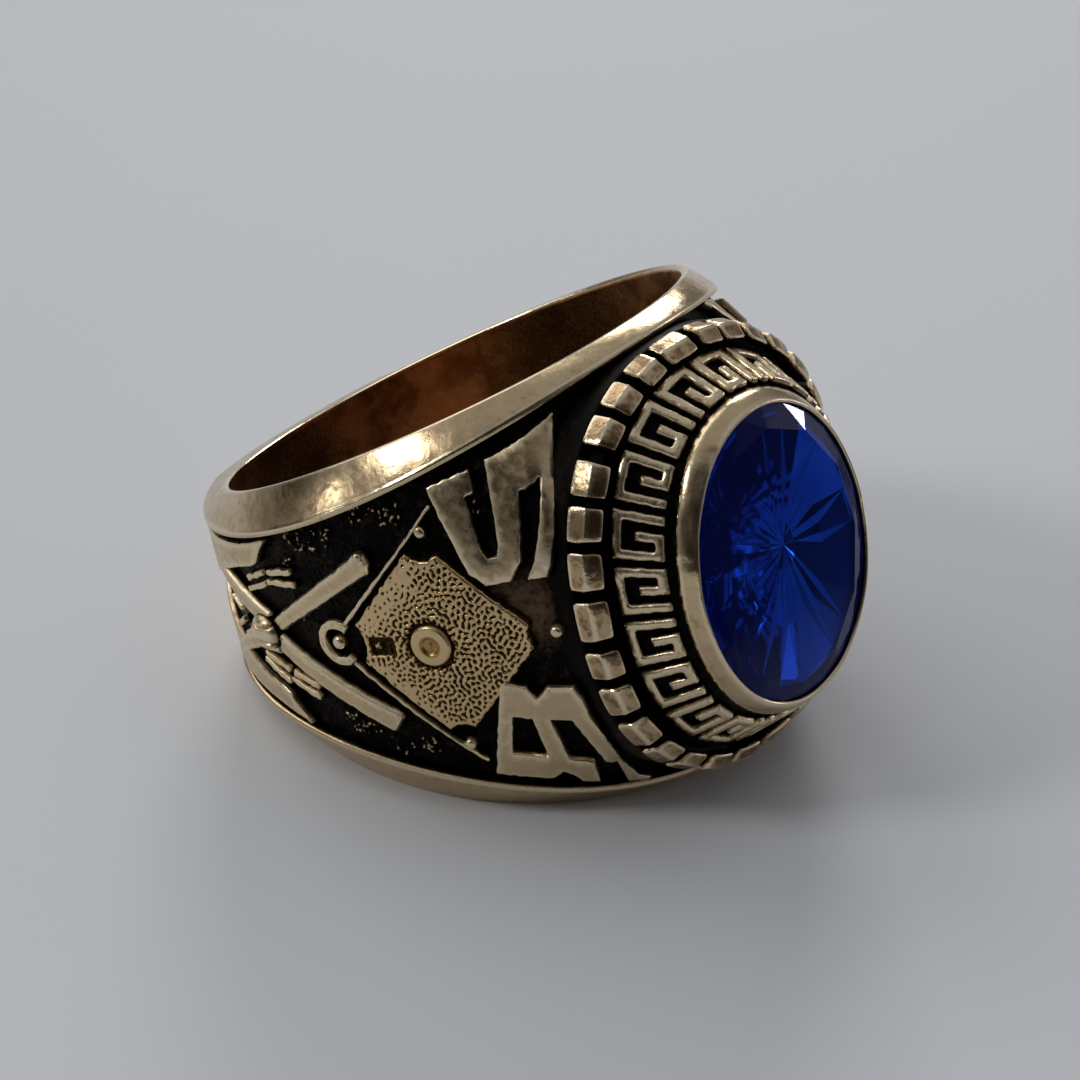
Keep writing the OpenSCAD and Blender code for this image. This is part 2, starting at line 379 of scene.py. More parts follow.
def plate(B, outer, holes=(), top=0.0, base=-0.5, bevel=0.09, drop=0.06, round_r=0.06, step=0.24,
          wob=0.012, shape=None, place=surf, ant_top=0.13, spread=0.04, edge_step=0.16, ant_wall=0.02):
    """A raised figure with bevelled edges, closed underneath."""
    loops = []
    for k, P in enumerate([outer, *holes]):
        P = oriented(P, ccw=(k == 0))
        P = rounded(P, round_r) if round_r else P
        P = dense(P, edge_step)
        if wob:
            P = P + wob * np.stack([SOFT_N(P[:, 0] * 2.2 + 3, P[:, 1] * 2.2), SOFT_N(P[:, 0] * 2.2, P[:, 1] * 2.2 + 9)], 1)
        loops.append(P)
    ins = [inset(P, bevel) for P in loops]
    mid = [inset(P, bevel * 0.4) for P in loops]
    allp = np.concatenate(ins)
    lo, hi = allp.min(0), allp.max(0)
    gx = np.arange(lo[0] + step / 2, hi[0], step)
    gy = np.arange(lo[1] + step / 2, hi[1], step * 0.87)
    X, Y = np.meshgrid(gx, gy)
    X[1::2] += step / 2
    X, Y = X.ravel(), Y.ravel()
    d = poly_sdf(ins[0], X, Y)
    for Q in ins[1:]:
        d = np.maximum(d, -poly_sdf(Q, X, Y))
    keep = d < -step * 0.42
    pts = np.concatenate([allp, np.stack([X[keep], Y[keep]], 1)])
    edges, k0 = [], 0
    for Q in ins:
        edges += [(k0 + i, k0 + (i + 1) % len(Q)) for i in range(len(Q))]
        k0 += len(Q)
    ov, _, of_, _, _, _ = delaunay_2d_cdt([Vector(p) for p in pts], edges, [], 0, 1e-6)
    ov = np.array([tuple(p) for p in ov])
    tri = np.array([f for f in of_ if len(f) == 3], int)
    c = ov[tri].mean(1)
    dc = poly_sdf(ins[0], c[:, 0], c[:, 1])
    for Q in ins[1:]:
        dc = np.maximum(dc, -poly_sdf(Q, c[:, 0], c[:, 1]))
    tri = tri[dc < 0]
    A, Bq, C = ov[tri[:, 0]], ov[tri[:, 1]], ov[tri[:, 2]]
    cr = (Bq[:, 0] - A[:, 0]) * (C[:, 1] - A[:, 1]) - (Bq[:, 1] - A[:, 1]) * (C[:, 0] - A[:, 0])
    tri = np.where((cr < 0)[:, None], tri[:, ::-1], tri)
    hfun = (lambda x, y: np.full(np.shape(x), top)) if shape is None else (lambda x, y: top + shape(x, y))
    n = len(ov)
    # top, then the same points underneath
    up0 = B.n
    tone = np.full(n, ant_top)
    # the top's outline, and through ant_wall the top of the walls, is pale: rubbed edges with a painted highlight along
    # them
    for Q in ins:
        tone[[int(np.argmin(((ov - q) ** 2).sum(1))) for q in Q]] = 0.03
    B.add(place(ov[:, 0], ov[:, 1], hfun(ov[:, 0], ov[:, 1])), tone, tris=tri)
    dn0 = B.n
    B.add(place(ov[:, 0], ov[:, 1], np.full(n, base)), 1.0, tris=tri[:, ::-1])
    for P, Q, M in zip(loops, ins, mid):
        m = len(P)
        idx = np.array([int(np.argmin(((ov - q) ** 2).sum(1))) for q in Q])
        rings = [
            (M, hfun(M[:, 0], M[:, 1]) - drop * 0.3, 0.0),
            (P, hfun(P[:, 0], P[:, 1]) - drop, ant_wall),
            (inset(P, -spread * 0.5), np.full(m, 0.5 * base + 0.5 * top - 0.05), 0.75),
            (inset(P, -spread), np.full(m, base), 1.0),
        ]
        w0 = B.n
        for R, h, av in rings:
            B.add(place(R[:, 0], R[:, 1], h), av)
        i = np.arange(m)
        j = (i + 1) % m
        r = [w0 + m * k + i for k in range(4)]
        r2 = [w0 + m * k + j for k in range(4)]
        B.q.append(np.stack([r[0], r2[0], up0 + idx[j], up0 + idx[i]], 1))
        for k in range(1, 4):
            B.q.append(np.stack([r[k], r2[k], r2[k - 1], r[k - 1]], 1))
        B.q.append(np.stack([dn0 + idx[i], dn0 + idx[j], r2[3], r[3]], 1))


def disc(c, r, n=28, ry=None, a0=0.0, a1=360.0):
    t = np.radians(np.linspace(a0, a1, n, endpoint=(a1 - a0) < 359.9))
    return np.stack([c[0] + r * np.cos(t), c[1] + (ry or r) * np.sin(t)], 1)


def strip(p, q, w0, w1=None):
    p, q = np.array(p, float), np.array(q, float)
    u = (q - p) / np.hypot(*(q - p))
    n = np.array([-u[1], u[0]])
    w1 = w1 or w0
    return np.array([p - n * w0 / 2, q - n * w1 / 2, q + n * w1 / 2, p + n * w0 / 2])


def dome(B, c, r, top, base=-0.5, ry=None, rings=7, n=30, ant=0.0, carve=None, sharp=2.0):
    """A rounded button on the panel."""
    t = np.linspace(0, 2 * np.pi, n, endpoint=False)
    rr = np.linspace(0.0, 1.0, rings + 1)[1:]
    pts = [surf(np.array([c[0]]), np.array([c[1]]), np.array([top + (carve(0.0, 0.0) if carve else 0)]))]
    an = [np.array([ant])]
    for k in rr:
        x, y = r * k * np.cos(t), (ry or r) * k * np.sin(t)
        h = base + (top - base) * (1 - k ** (2 * sharp)) ** 0.5 if k < 1 else np.full(n, base)
        h = np.broadcast_to(h, x.shape).astype(float)
        if carve is not None and k < 0.97:
            h = h + carve(x, y)
        pts.append(surf(c[0] + x, c[1] + y, h))
        an.append(np.clip(ant + (top - h - 0.12) * 2.5, ant, 1.0) if carve is None else np.clip(ant + np.maximum((top - h - 0.14) * 2.5, 0), ant, 1.0))
    v = np.concatenate([p.reshape(-1, 3) for p in pts])
    i = np.arange(n)
    j = (i + 1) % n
    tris = np.stack([np.zeros(n, int), 1 + i, 1 + j], 1)
    quads = [np.stack([1 + n * k + i, 1 + n * (k + 1) + i, 1 + n * (k + 1) + j, 1 + n * k + j], 1) for k in range(rings - 1)]
    B.add(v, np.concatenate(an), quads=np.concatenate(quads), tris=tris)


# ------------------------------------------------------------------ materials
def nodes_of(mat):
    mat.use_nodes = True
    nt = mat.node_tree
    nt.nodes.clear()
    return nt, nt.nodes, nt.links


def link(nt, a, b):
    nt.links.new(a, b)


def noise(nt, vec, scale, detail=3.0, rough=0.55, dist=0.0):
    n = nt.nodes.new("ShaderNodeTexNoise")
    n.inputs["Scale"].default_value = scale
    n.inputs["Detail"].default_value = detail
    n.inputs["Roughness"].default_value = rough
    n.inputs["Distortion"].default_value = dist
    link(nt, vec, n.inputs["Vector"])
    return n.outputs["Fac"]


def ramp(nt, fac, stops):
    n = nt.nodes.new("ShaderNodeValToRGB")
    while len(n.color_ramp.elements) < len(stops):
        n.color_ramp.elements.new(0.5)
    for e, (p, c) in zip(n.color_ramp.elements, stops):
        e.position = p
        e.color = (*c, 1) if len(c) == 3 else c
    link(nt, fac, n.inputs["Fac"])
    return n.outputs["Color"]


def mrange(nt, val, a, b, c, d):
    n = nt.nodes.new("ShaderNodeMapRange")
    n.interpolation_type = "SMOOTHSTEP"
    n.inputs["From Min"].default_value = a
    n.inputs["From Max"].default_value = b
    n.inputs["To Min"].default_value = c
    n.inputs["To Max"].default_value = d
    link(nt, val, n.inputs["Value"])
    return n.outputs["Result"]


def math_node(nt, op, a, b):
    n = nt.nodes.new("ShaderNodeMath")
    n.operation = op
    for s, v in zip(n.inputs, (a, b)):
        if isinstance(v, (int, float)):
            s.default_value = v
        else:
            link(nt, v, s)
    return n.outputs[0]


def mixc(nt, fac, a, b, mode="MIX"):
    n = nt.nodes.new("ShaderNodeMix")
    n.data_type = "RGBA"
    n.blend_type = mode
    for s, v in ((n.inputs[0], fac), (n.inputs[6], a), (n.inputs[7], b)):
        if isinstance(v, (int, float)):
            s.default_value = v
        elif isinstance(v, tuple):
            s.default_value = (*v, 1)
        else:
            link(nt, v, s)
    return n.outputs[2]


def mm_coords(nt, scale=(1000, 1000, 1000), rot=(0, 0, 0)):
    tc = nt.nodes.new("ShaderNodeTexCoord")
    mp = nt.nodes.new("ShaderNodeMapping")
    mp.inputs["Scale"].default_value = scale
    mp.inputs["Rotation"].default_value = rot
    link(nt, tc.outputs["Object"], mp.inputs["Vector"])
    return mp.outputs["Vector"]


# BRIGHT is the pale edge colour: rubbed metal, and a painted highlight along the edges
BRIGHT = (0.80, 0.66, 0.44)
GOLD = (0.66, 0.505, 0.305)
WARM = (0.50, 0.31, 0.155)
STAIN = (0.20, 0.115, 0.055)
BLACK = (0.0055, 0.0045, 0.004)
SOOT = (0.030, 0.024, 0.019)


def gold_mat(name, rough=0.2, stain=0.35, bump=0.12, bump_scale=2.2, warm=0.3, grain=0.05, black=BLACK, soot=SOOT, tint=GOLD,
             bright=BRIGHT, bore=False, stain_scale=1.0, stain_from=0.54, speck=0.0, thin=None):
    """Worn gold. The piece's `ant` value runs from pale edges (0), rubbed bright and also lightened as a painted
    highlight, over handled faces (0.15) to black recesses (from 0.6).
    """
    mat = bpy.data.materials.new(name)
    nt, nd, lk = nodes_of(mat)
    out = nd.new("ShaderNodeOutputMaterial")
    b = nd.new("ShaderNodeBsdfPrincipled")
    link(nt, b.outputs[0], out.inputs[0])
    v = mm_coords(nt)
    at = nd.new("ShaderNodeAttribute")
    at.attribute_name = "ant"
    ant = at.outputs["Fac"]
    n_big = noise(nt, v, 0.55, 4, 0.6, 0.3)
    n_mid = noise(nt, v, 2.3 * stain_scale, 4, 0.62, 0.2)
    n_fine = noise(nt, v, 11.0, 3, 0.6)
    # metal: pale along the edges, which are rubbed and also carry a painted highlight; warmer and browner in patches on
    # the faces
    col = mixc(nt, mrange(nt, n_big, 0.40, 0.70, 0.0, warm), tint, WARM)
    col = mixc(nt, mrange(nt, n_mid, stain_from, stain_from + 0.22, 0.0, stain), col, STAIN)
    if speck:
        # fine pores and scratches from wear
        fibre = noise(nt, mm_coords(nt, (1400, 1400, 5200), (0.3, 0.0, 0.5)), 1.1, 3, 0.6)
        pore = math_node(nt, "MULTIPLY", mrange(nt, noise(nt, v, 7.5, 3, 0.65), 0.55, 0.70, 0.0, 1.0), mrange(nt, n_mid, 0.42, 0.60, 0.15, 1.0))
        col = mixc(nt, math_node(nt, "MULTIPLY", pore, speck), col, STAIN)
        col = mixc(nt, mrange(nt, fibre, 0.50, 0.72, 0.0, speck * 0.6), col, WARM)
    # painted highlight: low `ant` on edges mixes in the pale colour, which stands for light caught by the edges as well
    # as for wear
    edge_wear_and_highlight = mrange(nt, math_node(nt, "ADD", ant, math_node(nt, "MULTIPLY", math_node(nt, "SUBTRACT", n_fine, 0.5), 0.08)), 0.01, 0.13, 0.0, 1.0)
    col = mixc(nt, edge_wear_and_highlight, bright, col)
    # patina: the edge of the black is broken up by noise
    jitter = math_node(nt, "MULTIPLY", math_node(nt, "SUBTRACT", n_fine, 0.5), 0.35)
    k = mrange(nt, math_node(nt, "ADD", ant, jitter), 0.26, 0.60, 0.0, 1.0)
    dark = mixc(nt, mrange(nt, n_mid, 0.50, 0.80, 0.0, 0.8), black, soot)
    if thin:
        # one place, given in mm with its reach, where the black has worn thin and browner
        far = nd.new("ShaderNodeVectorMath")
        far.operation = "DISTANCE"
        far.inputs[1].default_value = thin[:3]
        lk.new(v, far.inputs[0])
        spot = math_node(nt, "MULTIPLY", mrange(nt, far.outputs["Value"], thin[3] * 0.25, thin[3], 1.0, 0.0), mrange(nt, n_mid, 0.34, 0.62, 0.25, 1.0))
        dark = mixc(nt, spot, dark, (0.175, 0.112, 0.064))
    base = mixc(nt, k, col, dark)
    r = math_node(nt, "ADD", mrange(nt, n_mid, 0.35, 0.75, rough * 0.8, rough * 1.6), math_node(nt, "MULTIPLY", k, 0.22))
    if bore:
        # the inside of the finger hole is browner and duller than the outside
        ab = nd.new("ShaderNodeAttribute")
        ab.attribute_name = "bore"
        w = ab.outputs["Fac"]
        inner = mixc(nt, mrange(nt, n_big, 0.38, 0.66, 0.0, 1.0), (0.64, 0.315, 0.115), (0.27, 0.105, 0.030))
        base = mixc(nt, w, base, mixc(nt, k, inner, (0.05, 0.019, 0.007)))
        r = math_node(nt, "ADD", r, math_node(nt, "MULTIPLY", w, 0.14))
    lk.new(base, b.inputs["Base Color"])
    b.inputs["Metallic"].default_value = 1.0
    lk.new(r, b.inputs["Roughness"])
    bp = nd.new("ShaderNodeBump")
    bp.inputs["Strength"].default_value = bump
    bp.inputs["Distance"].default_value = 0.0002
    h = math_node(nt, "ADD", noise(nt, v, bump_scale, 3, 0.5), math_node(nt, "MULTIPLY", noise(nt, v, 28.0, 2, 0.6), grain))
    link(nt, h, bp.inputs["Height"])
    link(nt, bp.outputs[0], b.inputs["Normal"])
    return mat


M_RAIL = gold_mat("gold_polished", rough=0.17, stain=0.40, bump=0.12, bump_scale=1.3, grain=0.09, bore=True, speck=0.55)
M_RELIEF = gold_mat("gold_relief", speck=0.2, rough=0.29, stain=0.10, bump=0.07, bump_scale=2.6, grain=0.10)
M_PANEL = gold_mat("gold_recess", rough=0.30, stain=0.5, bump=0.30, bump_scale=5.0, grain=0.25, soot=(0.060, 0.043, 0.029), thin=(6.0, -8.5, 9.6, 2.2))
M_PLATE = gold_mat("gold_pitted", rough=0.27, stain=0.22, bump=0.08, bump_scale=6.0, grain=0.2, black=(0.055, 0.036, 0.014), soot=(0.09, 0.06, 0.025),
                   tint=(0.46, 0.270, 0.095), bright=(0.70, 0.51, 0.27))
M_BRICK = gold_mat("gold_bricks", speck=0.4, rough=0.21, stain=0.85, bump=0.15, bump_scale=3.0, grain=0.08, warm=0.75, stain_from=0.43, tint=(0.52, 0.385, 0.22))
M_HEAD = gold_mat("gold_head", rough=0.25, stain=0.55, bump=0.12, bump_scale=3.0, grain=0.08)
M_BEZEL = gold_mat("gold_bezel", rough=0.18, stain=0.55, speck=0.35, bump=0.14, bump_scale=1.6, grain=0.05, stain_scale=0.5)

# ------------------------------------------------------------------ the band: bore, crests, bevels, rails
COLS = 360


def band_profile(a):
    """Half profile of the band at angle a, from the middle of the bore round to the hidden inside."""
    co = corner(a)
    ed = edge(a)
    rows = [(9.9, 0.0 * a), (9.9, 0.3 * crest(9.9, a)), (9.9, 0.6 * crest(9.9, a)), (9.9, 0.85 * crest(9.9, a)),
            (9.9, crest(9.9, a) - 0.26), (9.9, crest(9.9, a) - 0.13), (9.925, crest(9.9, a) - 0.065),
            (9.975, crest(9.975, a) - 0.018), (10.04, crest(10.04, a)), (10.13, crest(10.13, a))]
    b0r, b0z = 10.19, crest(10.19, a) - 0.025
    b1r, b1z = 11.13, co + 0.035
    for t in (0.0, 0.04, 0.15, 0.32, 0.5, 0.68, 0.85, 0.96, 1.0):
        bulge = 0.035 * 4 * t * (1 - t)
        rows.append((b0r + (b1r - b0r) * t + bulge * 0.7, b0z + (b1z - b0z) * t + bulge * 0.7))
    rows += [(11.175, co - 0.01), (11.195, co - 0.05), (11.2, co - 0.1), (11.2, ed + 0.07), (11.19, ed + 0.02),
             (11.155, ed - 0.01), (11.05, ed - 0.025), (10.75, ed - 0.035), (10.3, ed - 0.04), (10.3, 0.0 * a)]
    return rows


def make_band():
    a = np.linspace(-180, 180, COLS, endpoint=False)
    half = band_profile(a)
    r = [np.broadcast_to(np.asarray(p[0], float), a.shape) for p in half]
    z = [np.broadcast_to(np.asarray(p[1], float), a.shape) for p in half]
    r = r + r[-2:0:-1]
    z = z + [-q for q in z[-2:0:-1]]
    R, Z = np.stack(r, 1), np.stack(z, 1)
    A = np.radians(a)[:, None]
    pts = np.stack([R * np.cos(A), R * np.sin(A), Z], -1)
    k = len(half)
    ant = np.zeros(R.shape)
    val = {i: 0.15 for i in range(k)}
    # the rounded rows of the crest and of the corner are pale: rubbed edges with a painted highlight along them
    val.update({5: 0.06, 6: 0.0, 7: 0.0, 8: 0.0, 9: 0.02, 10: 0.05, 11: 0.10, 17: 0.10, 18: 0.04, 19: 0.0, 20: 0.0, 21: 0.05,
                k - 6: 0.08, k - 5: 0.12, k - 4: 0.5, k - 3: 0.9, k - 2: 1.0, k - 1: 1.0})
    bore = np.zeros(R.shape)
    for i in range(k):
        ant[:, i] = ant[:, -i % R.shape[1]] = val[i]
        if i < 6:
            bore[:, i] = bore[:, -i % R.shape[1]] = 1.0 if i < 5 else 0.5
        if i < 5:
            # the inside of the finger hole is darkened in long patches, with four lighter stretches between them
            lighter_stretch = sum(h * np.exp(-(((a - c + 180) % 360 - 180) / w) ** 2) for c, w, h in ((146, 19, 1.0), (62, 20, 0.7), (-35, 30, 0.6), (-120, 28, 0.8)))
            ant[:, i] = ant[:, -i % R.shape[1]] = 0.10 + 0.44 * (1 - np.minimum(lighter_stretch, 1))
    B = Build()
    B.grid(pts, ant, wrap_u=True, wrap_v=True, flip=False)
    B.bore = bore.reshape(-1)
    return B


# ------------------------------------------------------------------ the recessed panels
FLOOR = -0.42
CRUMBS = [(-6.3, -3.65, 3.67, 4.75, 60), (-2.65, -0.3, 4.8, 5.65, 44), (-5.4, -3.6, -4.3, -3.4, 40), (-3.3, -1.0, -5.2, -4.3, 34),
          (-7.3, -6.2, 2.9, 3.8, 6), (-6.3, -5.4, -0.9, 0.9, 5), (2.2, 3.4, 5.0, 6.3, 6)]


def panel_height(s, z):
    h = np.full(s.shape, FLOOR)
    h += 0.018 * SOFT_N(s, z) + 0.012 * FINE_N(s, z)
    rs = np.random.RandomState(42)
    top = np.full(s.shape, -1.0)
    for x0, x1, z0, z1, n in CRUMBS:
        for _ in range(n):
            cx, cz = rs.uniform(x0, x1), rs.uniform(z0, z1)
            rx, rz, th = rs.uniform(0.08, 0.17), rs.uniform(0.05, 0.09), rs.uniform(0, 3.14)
            hh = rs.uniform(0.10, 0.24)
            m = (np.abs(s - cx) < 0.5) & (np.abs(z - cz) < 0.5)
            if not m.any():
                continue
            dx, dz = s[m] - cx, z[m] - cz
            u, w = dx * math.cos(th) + dz * math.sin(th), -dx * math.sin(th) + dz * math.cos(th)
            g = np.exp(-((u / rx) ** 2 + (w / rz) ** 2) ** 1.5)
            top[m] = np.maximum(top[m], FLOOR + hh * g)
    return np.maximum(h, top)


def make_panel(a0, a1, step_s, rows):
    """Floor of the recess between angles a0 and a1 on the near side."""
    s0, s1 = float(s_of(a0)), float(s_of(a1))
    fine_end = min(s1, 9.2)
    s = np.arange(s0, fine_end, step_s)
    if s1 > fine_end:
        s = np.concatenate([s, np.linspace(fine_end, s1, 14)])
    else:
        s = np.append(s, s1)
    t = np.linspace(-1, 1, rows)
    a = a_of(s)
    S, T = np.meshgrid(s, t, indexing="ij")
    Z = T * (edge(a)[:, None] + 0.02)
    H = panel_height(S, Z)
    ant = np.clip(1.0 - (H - FLOOR - 0.06) * 5.5, 0.15, 1.0)
    # the shoulder by the head has lost some of its black
    ant = np.minimum(ant, 1.0 - 0.42 * np.exp(-(((S - 4.6) / 1.3) ** 2 + (Z / 2.2) ** 2) ** 2))
    B = Build()
    B.grid(surf(S, Z, H), ant)
    return B


# ------------------------------------------------------------------ raised figures, near side
def diamond_height(s, z, pits=True):
    """Height of the ball diamond's plate, and its patina."""
    c, hd = (0.3, -0.03), 4.47
    d = (np.abs(s - c[0]) + np.abs(z - c[1]) - hd) / math.sqrt(2)
    for bx, bz, r in ((0.45, 4.5, 1.05), (0.38, -4.75, 1.0), (5.25, -0.05, 1.1), (-4.43, -0.08, 1.35)):
        d = np.maximum(d, r - np.hypot(s - bx, z - bz))
    d = d + 0.02 * SOFT_N(s * 2.2, z * 2.2)
    up = sm(0.5 - d / 0.13)
    h = -0.5 + 0.5 * up - 0.03 * sm(1 - (-d) / 0.16) * up
    ant = 1 - sm((h + 0.32) / 0.24)
    # worm-like pits, which thin out by the worn upper left edge
    w = WORM(s, z)
    ul = ((s - c[0]) * -1 + (z - c[1])) / math.sqrt(2)  # distance towards the upper left
    ll = ((s - c[0]) * -1 - (z - c[1])) / math.sqrt(2)
    fade = sm((2.75 - ul) / 1.1) * 0.75 + 0.25 * sm((2.95 - ul) / 0.3)
    fade = fade * sm((2.95 - ll) / 0.45) * sm((-d - 0.13) / 0.16)
    thr = -0.22 - 1.3 * (1 - fade)
    pit = sm((thr - w) / 0.55)
    # mound: a disc inside a black ring
    mx, mz = -0.07, -0.1
    r = np.hypot(s - mx, z - mz)
    ring = sm((1.10 + 0.05 * FINE_N(s, z) - r) / 0.1) * sm((r - 0.86) / 0.07)
    inside = r < 0.9
    # small square recess towards home
    qx, qz = np.abs(s + 2.27), np.abs(z + 0.13)
    sq = sm((0.62 - qx) / 0.1) * sm((0.43 - qz) / 0.1)
    dots = np.maximum(sm((0.22 - np.hypot(s + 2.45, z + 0.1)) / 0.1), 0.55 * sm((0.14 - np.hypot(s + 2.02, z + 0.22)) / 0.1))
    pit = np.where(inside, 0, pit) * (1 - ring)
    dep = 0.09 * pit + 0.2 * ring + 0.2 * sq * (1 - dots) * (1 - inside)
    h = h - dep * up
    ant = np.maximum(ant, np.maximum(0.95 * pit, np.maximum(ring, sq * (1 - dots))) * up)
    # mound's own relief
    m = sm((0.86 - r) / 0.08)
    bar = sm((0.05 - np.abs(s - mx - 0.02)) / 0.05) * sm((0.2 - np.abs(z - mz)) / 0.08)
    cup = sm((0.4 - r) / 0.1)
    h = np.where(r < 0.95, h + m * (0.07 - 0.11 * cup + 0.10 * bar) * up, h)
    ant = np.where(r < 0.86, np.maximum(0.30 * cup * (1 - bar), 0.22 * sm((0.06 - np.abs(r - 0.42)) / 0.05)), ant)
    return h, ant


def make_diamond(n=184):
    q = np.linspace(-1, 1, n) * (4.47 / math.sqrt(2) + 0.13)
    U, V = np.meshgrid(q, q, indexing="ij")
    s = 0.3 + (U - V) / math.sqrt(2)
    z = -0.03 + (U + V) / math.sqrt(2)
    h, ant = diamond_height(s, z)
    B = Build()
    B.grid(surf(s, z, h), ant)
    return B


# a numeral's patch: distance towards the head and height, foot then top of the inner side, foot then top of the rail side
PATCH = [(2.45, 2.2), (5.45, 2.35), (1.2, 6.2), (8.6, 7.85)]


def spot(u, v, k):
    """Point of a numeral at share u across and v up, on side k (1 upper, -1 lower)."""
    w = 1 - u if k > 0 else u
    P = [np.array(p) for p in PATCH]
    p = P[0] * (1 - w) * (1 - v) + P[1] * (1 - w) * v + P[2] * w * (1 - v) + P[3] * w * v
    return p[0], k * p[1]


FIVE = [(0, 0), (0.86, 0), (1.0, 0.15), (1.0, 0.50), (0.86, 0.63), (0.34, 0.63), (0.30, 0.83), (0.86, 0.80), (1.0, 0.73), (1.0, 1.02), (0.80, 1.0),
        (0.0, 1.0), (0.0, 0.40), (0.66, 0.40), (0.76, 0.36), (0.76, 0.27), (0.68, 0.22), (0.22, 0.22), (0.2, 0.29), (0, 0.29)]


def numerals(B):
    # upper: a five, drawn on the flared patch
    P = np.array([spot(u, v, 1) for u, v in dense(np.array(FIVE), 0.09)])
    plate(B, P, top=0.03, bevel=0.10, drop=0.09, round_r=0.05, step=0.3)
    # lower: a six with a waist, drawn in panel units
    c = lambda *q: [px(1120 + x / 2.4, 620 + y / 2.4) for x, y in q]
    out = c((40, 705), (225, 95), (262, 78), (385, 128), (425, 215), (508, 138), (668, 155), (702, 240), (742, 380), (830, 540), (968, 790),
            (1100, 935), (1215, 990), (1180, 1012), (1090, 990), (1000, 968), (905, 770), (812, 742), (690, 530), (612, 378), (482, 366),
            (520, 520), (555, 668), (720, 716), (770, 905), (620, 872), (555, 800), (488, 762), (412, 804))
    hole = c((256, 316), (368, 346), (412, 628), (192, 568))
    plate(B, out, holes=[hole], top=0.03, bevel=0.10, drop=0.09, round_r=0.05, step=0.3)


def raised_figures():
    B = Build()
    numerals(B)
    # crossed bats: two arms towards the diamond, two towards the back
    plate(B, [px(*p) for p in ((584, 512), (889, 327), (903, 313), (921, 308), (937, 318), (944, 340), (940, 363), (612, 540))],
          top=0.04, bevel=0.17, drop=0.16, round_r=0.12, step=0.2)
    plate(B, [px(*p) for p in ((598, 549), (932, 729), (934, 741), (904, 779), (893, 777), (585, 596))],
          top=0.04, bevel=0.17, drop=0.16, round_r=0.07, step=0.2)
    dome(B, px(921, 320), 0.24, 0.13, rings=6, n=24)
    plate(B, [px(*p) for p in ((575, 500), (523, 484), (473, 466), (414, 448), (345, 425), (262, 398), (256, 430), (345, 470), (414, 500), (473, 520), (560, 548))],
          top=0.02, bevel=0.15, drop=0.13, round_r=0.1, step=0.2)
    plate(B, [px(*p) for p in ((565, 556), (470, 572), (405, 596), (345, 622), (262, 660), (256, 694), (345, 668), (405, 640), (482, 612), (585, 606))],
          top=0.02, bevel=0.15, drop=0.13, round_r=0.1, step=0.2)
    # the ball over the crossing, with two lines of stitching
    stitch = lambda x, y: -0.16 * (np.exp(-((y - 0.30 - 0.22 * x * x) / 0.06) ** 2) + np.exp(-((y + 0.30 + 0.22 * x * x) / 0.06) ** 2))
    dome(B, px(545, 551), 0.98, 0.42, base=-0.45, ry=0.84, rings=18, n=60, carve=stitch, sharp=1.9)
    # home: an open ring with a ball in it, and the foul lines that run from it
    hx, hz = -4.43, -0.1
    arc = np.concatenate([disc((hx, hz), 0.99, 30, a0=46, a1=314), disc((hx, hz), 0.62, 24, a0=46, a1=314)[::-1]])
    plate(B, arc, top=-0.02, bevel=0.07, drop=0.06, round_r=0.03, step=0.16, edge_step=0.12)
    dome(B, (hx - 0.02, hz), 0.34, 0.02, base=-0.42, rings=7, n=28)
    plate(B, strip((-3.92, 0.72), (1.20, 5.54), 0.17, 0.12), top=-0.05, bevel=0.045, drop=0.05, round_r=0.03, step=0.2, edge_step=0.14)
    plate(B, strip((-3.88, -0.94), (0.97, -5.60), 0.17, 0.12), top=-0.05, bevel=0.045, drop=0.05, round_r=0.03, step=0.2, edge_step=0.14)
    # the bases: buttons in the corners' bites
    for c in ((0.52, 4.53), (0.38, -4.75), (5.23, 0.08)):
        dome(B, c, 0.29, -0.02, base=-0.42, rings=6, n=22)
    # plain bars where small writing would be
    bars = [((605, 386), (698, 373), 0.26), ((599, 411), (703, 406), 0.25), ((508, 420), (592, 389), 0.25), ((497, 452), (594, 418), 0.24),
            ((497, 622), (596, 646), 0.25), ((484, 641), (586, 682), 0.26), ((610, 650), (696, 674), 0.27), ((597, 670), (692, 706), 0.25),
            ((346, 588), (408, 556), 0.22), ((394, 600), (462, 570), 0.22), ((346, 512), (408, 530), 0.2), ((394, 488), (455, 508), 0.2)]
    for p, q, w in bars:
        plate(B, strip(px(*p), px(*q), w, w), top=-0.04, bevel=0.06, drop=0.05, round_r=0.07, step=0.2, edge_step=0.13, wob=0.02)
    return B


